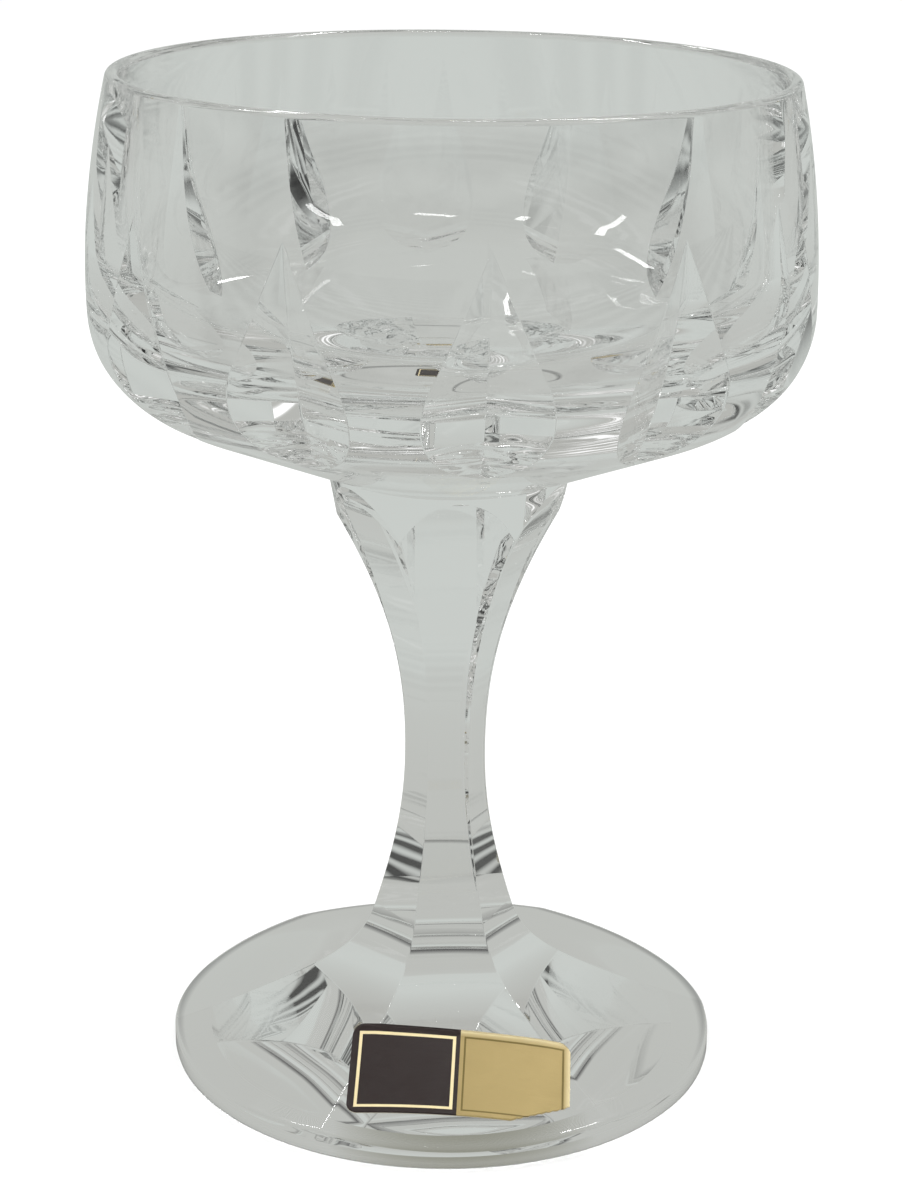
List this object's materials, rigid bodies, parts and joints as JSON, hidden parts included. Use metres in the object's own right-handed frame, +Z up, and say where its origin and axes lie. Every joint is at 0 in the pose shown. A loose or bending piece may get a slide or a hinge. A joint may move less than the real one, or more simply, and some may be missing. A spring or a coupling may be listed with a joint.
{
  "type": "champagne glass",
  "caption": "Cut-crystal champagne saucer with a heavy shallow bowl, a ring of mitre cuts, a waisted faceted stem and a round foot with a blank foil label.",
  "frame": {"origin": "middle of the foot's underside, on the surface that the glass stands on", "axes": "+Z up along the stem to the rim; -Y is the front, where the label is and where one facet and one cut face"},
  "size_m": [0.0896, 0.0896, 0.13],
  "materials": {
    "crystal": "clear lead crystal, cut and polished",
    "label_foil": "printed metal foil, half dark brown and half gold, a little creased"
  },
  "bodies": {
    "root": {"bowl": "crystal", "stem": "crystal", "foot": "crystal", "foil_label": "label_foil"}
  },
  "joints": []
}
